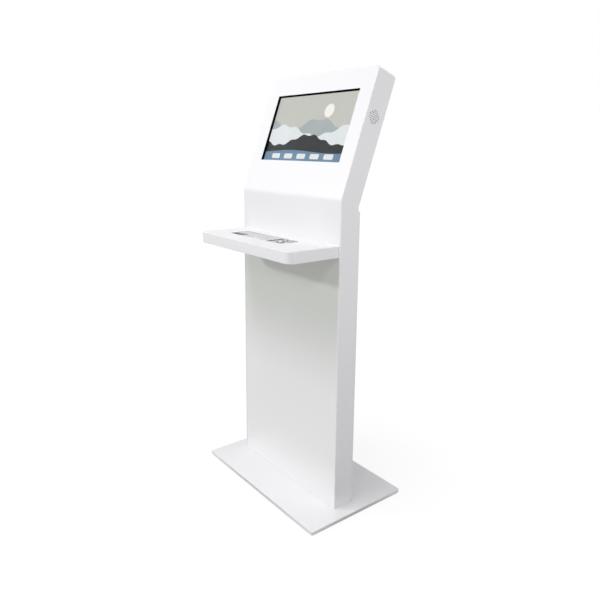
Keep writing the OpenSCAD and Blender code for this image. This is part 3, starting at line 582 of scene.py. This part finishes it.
def middle_of_body(p):
    """The point in the middle of the body's depth at the height of p."""
    over = max(0.0, p.z - KNEE_Z)
    return Vector((0, FRONT_Y + COLUMN_D / 2 + over * math.tan(TILT), p.z - 0.002))


def thicken(obj):
    """Gives the skin the thickness of the sheet, inwards."""
    mod = obj.modifiers.new("sheet", "SOLIDIFY")
    mod.thickness = SHEET
    mod.offset = -1.0
    mod.use_even_offset = True
    apply_modifiers(obj)
    shade(obj, 40.0)


def side_panel(side):
    """One bent side panel with its folded front and rear returns, and its sound holes."""
    name = "left" if side < 0 else "right"

    def wanted(a, b, x0, x1, z0, z1):
        beside_panel = a == b == "front" and x1 <= HALF_W - LIP + NEAR
        return "top" not in (a, b) and x0 >= CLEAR_X - NEAR and not beside_panel

    obj = skin_part(f"side_panel_{name}_skin", wanted, sides=(side,), cap=True)
    cut_away(obj, sound_holes(side))
    obj.data.set_sharp_from_angle(angle=math.radians(40.0))
    add_flat_normals(obj)
    stand_in(obj, "cabinet", "powder_coat", f"side_panel_{name}")


def sound_holes(side):
    """A round group of rods, to cut the sound holes through one side panel."""
    verts, faces = [], []
    steps = 16
    for i in range(-SPEAKER_ROWS, SPEAKER_ROWS + 1):
        for j in range(-SPEAKER_ROWS, SPEAKER_ROWS + 1):
            if i * i + j * j > 12:
                continue
            c = head_point(SPEAKER_Y + i * SPEAKER_PITCH, SPEAKER_Z + j * SPEAKER_PITCH)
            start = len(verts)
            for x in (HALF_W - 0.006, HALF_W + 0.004):
                circle = arc(SPEAKER_HOLE_R, 0, 360 - 360 / steps, steps - 1)
                verts += [(side * x, c.y + py, c.z + pz) for py, pz in circle]
            for k in range(steps):
                n = (k + 1) % steps
                faces.append((start + k, start + n, start + steps + n, start + steps + k))
            faces.append(tuple(range(start, start + steps))[::-1])
            faces.append(tuple(range(start + steps, start + 2 * steps)))
    return new_object("cutter", verts, faces, WHITE)


def front_upper_panel():
    """The front sheet from the shelf up over the soft knee and round the screen."""
    def wanted(a, b, x0, x1, z0, z1):
        on_front = a == "face" or (a == "front" and b == "face")
        if x1 > CLEAR_X + NEAR or not on_front or z1 <= panel_hi.z + NEAR:
            return False
        low = head_point(0, SCREEN_START).z - 1e-4
        high = head_point(0, SCREEN_END).z + 1e-4
        in_screen = x1 <= SCREEN_W / 2 + NEAR and z0 >= low and z1 <= high
        return not in_screen and b != "top"

    obj = skin_part("front_upper_skin", wanted)
    add_flat_normals(obj)
    stand_in(obj, "cabinet", "powder_coat", "front_upper_panel")


def opening_frame(name, section, mat, smooth_angle):
    """A frame round the screen opening; section is (outwards, depth) from the opening's front edge."""
    w = SCREEN_W / 2
    rings = []
    for out, y in section:
        low, high = SCREEN_START - out, SCREEN_END + out
        corners = ((-w - out, low), (w + out, low), (w + out, high), (-w - out, high))
        rings.append([head_point(y, z, x) for x, z in corners])
    return new_object(name, *loft(rings, caps=False), mat, smooth_angle)


def screen_rim():
    """Edge of the sheet round the screen opening, slightly rounded, and the folded rim behind it."""
    section = [(RIM_R * (1 - math.sin(a)), RIM_R * (1 - math.cos(a)))
               for a in (math.radians(15 * k) for k in range(7))]
    section += [(0.0, SHEET), (0.0016, SHEET), (0.0016, RIM_DEPTH), (0.0012, RIM_DEPTH)]
    stand_in(opening_frame("screen_rim", section, WHITE, 50.0), "cabinet", "powder_coat")


def screen_gasket():
    """Black foam that lines the opening down to the glass."""
    section = [(0.0004, 0.0009), (-0.0003, 0.0012), (-0.0003, 0.0079), (0.0095, 0.0079)]
    obj = opening_frame("screen_gasket", section, FOAM, 30.0)
    stand_in(obj, "cabinet", "gasket_foam", "glass_gasket")


def head_top():
    """Closure of the head with its two round upper corners."""
    def wanted(a, b, x0, x1, z0, z1):
        return (a in ("face", "top") and b == "top") or (a == "top" and b == "cover")

    obj = skin_part("head_top_skin", wanted)
    add_flat_normals(obj)
    stand_in(obj, "cabinet", "powder_coat", "head_top_cap")


# ---------------------------------------------------------------- shelf and keyboard

def shelf_plan(inset):
    """Outline of the shelf: round front corners, square against the column."""
    lo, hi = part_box("shelf_top")
    w = hi.x
    points = [(w - inset, hi.y)]
    for cx, start in ((w - SHELF_R, 0), (SHELF_R - w, -90)):
        points += [(cx + px, lo.y + SHELF_R + py) for px, py in arc(SHELF_R - inset, start, start - 90, 10)]
    return points + [(inset - w, hi.y)]


def box_cutter(lo, hi):
    """A plain block between two corners, used to cut other pieces."""
    rings = [[(lo[0], lo[1], z), (hi[0], lo[1], z), (hi[0], hi[1], z), (lo[0], hi[1], z)]
             for z in (lo[2], hi[2])]
    return new_object("cutter", *loft(rings), WHITE)


def shelf():
    """Folded shelf with a soft upper edge, the keyboard's cut-out and a separate plate let in below."""
    lo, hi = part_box("shelf_top")
    tray_lo, tray_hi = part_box("keyboard_cradle")
    plate_lo, plate_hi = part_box("keyboard_plate")
    fold = 0.0028
    groove = fold + 0.0004
    levels = [(groove, lo.z + 0.0002), (groove, lo.z + 0.001), (fold, lo.z + 0.001), (fold, lo.z)]
    levels += quarter(0.002, lo.z, steps=3, down=True)
    levels += quarter(SHELF_EDGE_R, hi.z, steps=6)
    obj = new_object("shelf", *loft(plan_rings(shelf_plan, levels)), WHITE)
    gap = 0.002
    cut_away(obj, box_cutter((tray_lo.x - gap, tray_lo.y - gap, lo.z + 0.004),
                             (tray_hi.x + gap, tray_hi.y + gap, hi.z - SHEET)))
    gap = 0.0005
    cut_away(obj, box_cutter((plate_lo.x - gap, plate_lo.y - gap, hi.z - 0.006),
                             (plate_hi.x + gap, plate_hi.y + gap, hi.z + 0.01)))
    tidy(obj, 34.0)
    add_bevel(obj, 0.0007, 60.0)
    add_flat_normals(obj)
    stand_in(obj, "cabinet", "powder_coat", "shelf_top", "shelf_bottom")


def key_shape(x0, x1, y0, y1, z0, z1, dish):
    """A key: upright skirt, tapered top with a round edge and a dished middle."""
    def plan(inset):
        corner = max(0.0016 - inset / 2, 0.0003)
        return round_rect(x0 + inset, x1 - inset, y0 + inset, y1 - inset, corner, 3)

    levels = [(0.0, z0), (0.0, z1 - 0.0017), (0.0003, z1 - 0.0010)]
    levels += quarter(0.0007, z1, inset=0.0004, steps=3)
    levels += [(0.0021, z1 - dish * 0.45), (0.0033, z1 - dish * 0.85), (0.0046, z1 - dish)]
    return loft(plan_rings(plan, levels))


def keys_from(node, pitch=0.0, skip=(), dish=0.0005):
    """Makes a CAD row's keys, each pitch wide; skip lists (x0, x1) spans that hold no key."""
    lo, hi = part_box(node)
    count = round((hi.x - lo.x + KEY_GAP) / pitch) if pitch else 1
    width = pitch - KEY_GAP if pitch else hi.x - lo.x
    verts, faces = [], []
    for k in range(count):
        x0 = lo.x + k * pitch
        if any(a < x0 + width / 2 < b for a, b in skip):
            continue
        more_verts, more_faces = key_shape(x0, x0 + width, lo.y, hi.y, lo.z, hi.z, dish)
        start = len(verts)
        verts += more_verts
        faces += [tuple(start + i for i in face) for face in more_faces]
    obj = new_object(f"{node}_caps", verts, faces, KEY_STEEL)
    stand_in(obj, node, "key_steel", node)


def keyboard():
    """Keys, space bar, click buttons and trackball."""
    bar_lo_x, bar_hi_x = (corner.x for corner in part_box("space_bar"))
    for n in range(1, 6):
        keys_from(f"keys_row_{n}", KEY_PITCH, [(bar_lo_x, bar_hi_x)] if n == 5 else ())
    keys_from("space_bar")
    keys_from("button_left", dish=0.0003)
    keys_from("button_right", dish=0.0003)
    lo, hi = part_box("trackball")
    centre = (lo + hi) / 2
    r = (hi.x - lo.x) / 2
    profile = arc(r, -90, 90, 40)
    obj = turned("trackball_ball", profile, BALL, Matrix.Translation(centre))
    stand_in(obj, "trackball", "ball_white", "trackball")
    lo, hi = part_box("trackball_ring")
    outer = (hi.x - lo.x) / 2
    inner = outer - 0.005
    h = hi.z - lo.z
    profile = [(inner, 0), (outer, 0)]
    profile += [(outer - h + px, py) for px, py in arc(h, 0, 90, 6)]
    profile += [(inner + 0.0008, h), (inner, h - 0.0006), (inner, 0)]
    place = Matrix.Translation(((lo.x + hi.x) / 2, (lo.y + hi.y) / 2, lo.z))
    obj = turned("trackball_trim", profile, GLOSS_BLACK, place)
    stand_in(obj, "cabinet", "black_plastic", "trackball_ring")


# ---------------------------------------------------------------- picture on the display

# name, height of the foot of the curve, its waves as (height, length, offset), and two colours
RANGES = (
    ("far", 0.018, ((0.018, 0.31, 0.10), (0.006, 0.11, 0.30)),
     (0.36, 0.40, 0.42), (0.44, 0.47, 0.48)),
    ("middle", -0.008, ((0.022, 0.42, 0.62), (0.005, 0.09, 0.10)),
     (0.70, 0.73, 0.76), (0.84, 0.86, 0.88)),
    ("near", -0.046, ((0.020, 0.36, 0.22), (0.004, 0.07, 0.55)),
     (0.012, 0.014, 0.016), (0.05, 0.055, 0.06)),
    ("lake", -0.092, ((0.006, 0.50, 0.40),),
     (0.10, 0.19, 0.30), (0.20, 0.32, 0.44)),
)


def screen_patch(name, points, mat, lift):
    """A flat shape on the display; points are (x, z) across and up the display from its middle."""
    verts = [head_point(PICTURE_Y - lift, PICTURE_Z + z, x) for x, z in points]
    obj = new_object(name, verts, [tuple(range(len(verts)))], mat)
    stand_in(obj, "cabinet", "lcd_black")


def hills(name, base, waves, mat, lift):
    """A range of hills across the picture: waves are (height, length, offset) of summed sine curves."""
    top = []
    steps = 90
    for k in range(steps + 1):
        x = PICTURE_W * (k / steps - 0.5)
        z = base
        for height, length, offset in waves:
            z += height * math.sin(2 * math.pi * (x / length + offset))
        top.append((x, min(z, PICTURE_H / 2)))
    corners = [(PICTURE_W / 2, -PICTURE_H / 2), (-PICTURE_W / 2, -PICTURE_H / 2)]
    screen_patch(name, top[::-1] + corners[::-1], mat, lift)


def picture():
    """A generic landscape: pale sky, low sun, mist, hills and a lake, with a row of plain tiles."""
    w, h = PICTURE_W / 2, PICTURE_H / 2
    sky = glowing("picture_sky", (0.60, 0.60, 0.55), (0.50, 0.50, 0.46), 3.0)
    screen_patch("picture_sky", [(-w, -h), (w, -h), (w, h), (-w, h)], sky, 0.0)
    sun = glowing("picture_sun", (0.95, 0.93, 0.86), (0.88, 0.86, 0.78), 9.0)
    disc = [(0.092 + px, 0.066 + pz) for px, pz in arc(0.026, 0, 350, 35)]
    screen_patch("picture_sun", disc, sun, 0.0001)
    for k, (name, base, waves, dark, light) in enumerate(RANGES):
        tone = glowing(f"picture_{name}", dark, light, 14.0)
        hills(f"picture_{name}", base, waves, tone, 0.0002 + 0.0001 * k)
    tile = glowing("picture_tile", (0.74, 0.76, 0.78), (0.84, 0.85, 0.86), 6.0)
    for k in range(5):
        x = -0.16 + 0.08 * k
        points = round_rect(x - 0.026, x + 0.026, -h + 0.012, -h + 0.032, 0.005, 4)
        screen_patch(f"picture_tile_{k}", points, tile, 0.0008)


# ---------------------------------------------------------------- stage, light and camera

FLOOR_R = 40.0                     # radius of the floor
FADE = (0.3, 0.9)                  # radii between which the camera sees the floor fade to white
FADE_START = 0.85                  # how far it has faded at the first of them
FLOOR_GLOW = 1.02                  # the white that it fades to
BOUNCE = (0.12, 0.52)              # light that the floor sends back, by the base and further out
BOUNCE_REACH = (1.0, 1.4)          # where those two hold, as multiples of the base's half sides
SKY_LIGHT = 0.43                   # the background's light on dull surfaces
# name, place, what it points at, diameter and watts
LIGHTS = (
    ("top", (-0.6, -3.0, 7.2), (0, 0, 0.9), 3.6, 195),
    ("left", (-4.8, -6.4, 4.0), (0, 0, 1.0), 0.6, 200),
    ("key", (2.9, -4.2, 3.6), (0, 0, 1.0), 0.9, 31),
    ("front", (0.4, -4.2, 0.8), (0, 0, 0.6), 1.6, 9),
    ("side", (1.9, 0.3, 1.15), (0.3, 0, 1.5), 0.8, 7.4),
    ("rear", (0.6, 4.6, 0.3), (0, 0, 0.9), 1.6, 26),
)


def distance(tree, vector):
    """The length of a vector."""
    node = tree.nodes.new("ShaderNodeVectorMath")
    node.operation = "LENGTH"
    tree.links.new(vector, node.inputs[0])
    return node.outputs["Value"]


def one_of(tree, factor, first, second):
    """A shader that is the first at factor 0 and the second at factor 1."""
    mix = tree.nodes.new("ShaderNodeMixShader")
    tree.links.new(factor, mix.inputs["Fac"])
    tree.links.new(first, mix.inputs[1])
    tree.links.new(second, mix.inputs[2])
    return mix.outputs["Shader"]


def stage():
    """Pale floor: the camera sees it fade to the background's white, and its bounce is soft and grey."""
    mat, tree, shader, at = node_tree("pale_floor")
    shader.inputs["Base Color"].default_value = (0.92, 0.92, 0.92, 1)
    shader.inputs["Roughness"].default_value = 0.9
    shader.inputs["Specular IOR Level"].default_value = 0.1
    glow = tree.nodes.new("ShaderNodeEmission")
    glow.inputs["Strength"].default_value = FLOOR_GLOW
    far = mapped(tree, distance(tree, at), FADE_START, 1.0, *FADE)
    seen = one_of(tree, far, shader.outputs["BSDF"], glow.outputs["Emission"])
    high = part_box("base_plate")[1]
    reach = distance(tree, scaled(tree, at, (1 / high.x, 1 / high.y, 0.0)))
    bounce = tree.nodes.new("ShaderNodeEmission")
    tree.links.new(mapped(tree, reach, *BOUNCE, *BOUNCE_REACH), bounce.inputs["Strength"])
    by_camera = tree.nodes.new("ShaderNodeLightPath").outputs["Is Camera Ray"]
    surface = one_of(tree, by_camera, bounce.outputs["Emission"], seen)
    tree.links.new(surface, tree.nodes["Material Output"].inputs["Surface"])
    steps = 64
    rim = [(x, y, -0.0003) for x, y in arc(FLOOR_R, 0, 360 - 360 / steps, steps - 1)]
    floor = new_object("floor", rim, [tuple(range(steps))], mat)


def area_light(name, place, target, size, power):
    """A round lamp that points at target."""
    data = bpy.data.lights.new(name, "AREA")
    data.shape = "DISK"
    data.size = size
    data.energy = power
    obj = bpy.data.objects.new(name, data)
    obj.location = place
    aim = Vector(target) - Vector(place)
    obj.rotation_euler = aim.to_track_quat("-Z", "Y").to_euler()
    bpy.context.scene.collection.objects.link(obj)


def lights():
    """A white studio: bright where it is seen or mirrored, dim as a light on dull surfaces."""
    world = bpy.data.worlds.new("studio")
    bpy.context.scene.world = world
    world.use_nodes = True
    tree = world.node_tree
    dim = tree.nodes["Background"]
    bright = tree.nodes.new("ShaderNodeBackground")
    for node, strength in ((dim, SKY_LIGHT), (bright, 1.0)):
        node.inputs["Color"].default_value = (1.0, 1.0, 1.0, 1)
        node.inputs["Strength"].default_value = strength
    path = tree.nodes.new("ShaderNodeLightPath")
    seen = tree.nodes.new("ShaderNodeMath")
    seen.operation = "MAXIMUM"
    tree.links.new(path.outputs["Is Camera Ray"], seen.inputs[0])
    tree.links.new(path.outputs["Is Glossy Ray"], seen.inputs[1])
    sky = one_of(tree, seen.outputs["Value"], dim.outputs["Background"], bright.outputs["Background"])
    tree.links.new(sky, tree.nodes["World Output"].inputs["Surface"])
    for light in LIGHTS:
        area_light(*light)


CAMERA_AT = (1.773, -1.389, 1.352)
CAMERA_YAW, CAMERA_PITCH, CAMERA_ROLL = 52.1, -12.15, 0.5
CAMERA_LENS = 35.0
CAMERA_SHIFT = -0.045


def camera():
    """The photo's point of view."""
    data = bpy.data.cameras.new("camera")
    obj = bpy.data.objects.new("camera", data)
    bpy.context.scene.collection.objects.link(obj)
    yaw, pitch, roll = (math.radians(v) for v in (CAMERA_YAW, CAMERA_PITCH, CAMERA_ROLL))
    level = math.cos(pitch)
    ahead = Vector((-math.sin(yaw) * level, math.cos(yaw) * level, math.sin(pitch)))
    right = Vector((math.cos(yaw), math.sin(yaw), 0))
    up = right.cross(ahead)
    side = right * math.cos(roll) + up * math.sin(roll)
    above = up * math.cos(roll) - right * math.sin(roll)
    turn = Matrix((side, above, -ahead)).transposed().to_4x4()
    obj.matrix_world = Matrix.Translation(CAMERA_AT) @ turn
    data.sensor_width = 36.0
    data.lens = CAMERA_LENS
    data.shift_y = CAMERA_SHIFT
    data.clip_start = 0.05
    data.clip_end = 100
    bpy.context.scene.camera = obj


camera()
stage()
lights()
bpy.context.scene.view_settings.view_transform = "Standard"

side_panel(-1)
side_panel(1)
front_upper_panel()
screen_rim()
screen_gasket()
head_top()
shelf()
keyboard()
picture()

# finish, bevel width and the nodes that keep their CAD shape
FINISHES = (
    (WHITE, 0.0035, "base_plate"),
    # the lower front panel's coat has the shelf's shadow painted in
    (PAINTED_SHADE_COAT, 0.0006, "front_lower_panel"),
    (WHITE, 0.0008, "rear_plinth rear_door head_back_cover back_crossbar"),
    (RUBBER, 0.0005, "floor_mat cable_grommet"),
    (STEEL, 0.0005, "foot_bracket_left foot_bracket_right door_stiffener hinge_leaves_fixed"),
    (STEEL, 0.0005, "hinge_leaves_door shelf_bracket_left shelf_bracket_right shelf_backing_bar"),
    (STEEL, 0.0005, "lcd_brackets equipment_plate keyboard_housing"),
    (STEEL, 0.0003, "foot_bolts hinge_pins shelf_bolts back_cover_screws"),
    (CHROME, 0.0003, "lock_housing lock_cylinder pc_power_button"),
    (PLATE_STEEL, 0.0003, "keyboard_plate"),
    (BLACK, 0.0004, "keyboard_cradle trackball_cup speaker_left speaker_right"),
    (BLACK, 0.0004, "fan_frame fan_rotor mains_inlet"),
    (GLASS, 0.0004, "touch_glass"),
    (GLOSS_BLACK, 0.0004, "lcd_panel"),
    (CASE, 0.0012, "mini_pc power_supply"),
    (STRIP, 0.0012, "power_strip"),
    (RED, 0.0006, "strip_rocker"),
    (CABLE, 0.0, "internal_cables"),
    (BOARD, 0.0002, "keyboard_circuit lcd_driver_board"),
)
for finish, edge, nodes in FINISHES:
    for node in nodes.split():
        dress(node, finish, edge)
